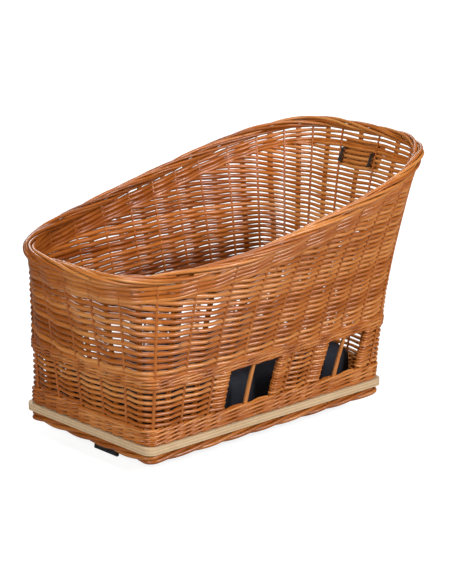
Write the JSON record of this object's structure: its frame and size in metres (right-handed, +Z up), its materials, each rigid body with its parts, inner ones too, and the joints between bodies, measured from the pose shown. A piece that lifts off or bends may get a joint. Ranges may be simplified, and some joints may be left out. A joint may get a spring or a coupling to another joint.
{
  "type": "dog bicycle basket",
  "caption": "Willow dog basket for a bicycle's rear rack, with a high flared back, side windows, a lift-out cushion and a latching rack adapter.",
  "frame": {"origin": "middle of the rack adapter's flat underside, on the basket's centre plane and halfway along the base board", "axes": "+X towards the high back, +Z up, so the latch lever is at the low front end, -X"},
  "size_m": [0.6407, 0.414, 0.4225],
  "materials": {
    "willow": "peeled and boiled willow, lacquered, semi-gloss",
    "willow_border": "thick boiled willow rods, lacquered, semi-gloss",
    "plywood": "plain birch plywood with a sanded edge that shows its plies",
    "cushion_cloth": "black woven polyester",
    "patch_leather": "brown vegetable-tanned leather, blank",
    "black_lace": "black leather lace",
    "black_plastic": "black moulded plastic with a fine grain",
    "zinc_steel": "zinc-plated steel"
  },
  "bodies": {
    "basket": {"base_board": "plywood", "foot_border": "willow_border", "bottom_wale": "willow", "lower_siding_front": "willow", "window_pier_near": "willow", "lower_siding_rear": "willow", "window_pier_far": "willow", "window_stake_near_front": "willow", "window_stake_far_front": "willow", "window_stake_near_rear": "willow", "window_stake_far_rear": "willow", "middle_wale": "willow", "upper_siding_front": "willow", "upper_siding_near": "willow", "upper_siding_rear": "willow", "upper_siding_far": "willow", "border_rod_a": "willow_border", "border_rod_b": "willow_border", "border_rod_c": "willow_border", "back_patch": "patch_leather", "patch_lace_near": "black_lace", "patch_lace_far": "black_lace", "rack_adapter": "black_plastic", "lever_pin": "zinc_steel", "lever_spring": "zinc_steel", "adapter_screw_1": "zinc_steel", "screw_washer_1": "zinc_steel", "screw_nut_1": "zinc_steel", "adapter_screw_2": "zinc_steel", "screw_washer_2": "zinc_steel", "screw_nut_2": "zinc_steel", "adapter_screw_3": "zinc_steel", "screw_washer_3": "zinc_steel", "screw_nut_3": "zinc_steel", "adapter_screw_4": "zinc_steel", "screw_washer_4": "zinc_steel", "screw_nut_4": "zinc_steel"},
    "cushion": {"seat_cushion": "cushion_cloth"},
    "lever": {"release_lever": "black_plastic"}
  },
  "joints": [
    {"name": "cushion_lift", "type": "slide", "parent": "basket", "child": "cushion", "axis": [0, 0, 1], "range_m": [0, 0.3]},
    {"name": "lever_squeeze", "type": "hinge", "parent": "basket", "child": "lever", "pos_m": [-0.172, 0, 0.02], "axis": [0, 1, 0], "range_deg": [0, 22], "stiffness_Nm_per_rad": 0.8, "springref_deg": -20.05, "deforming": ["lever_spring"]}
  ]
}
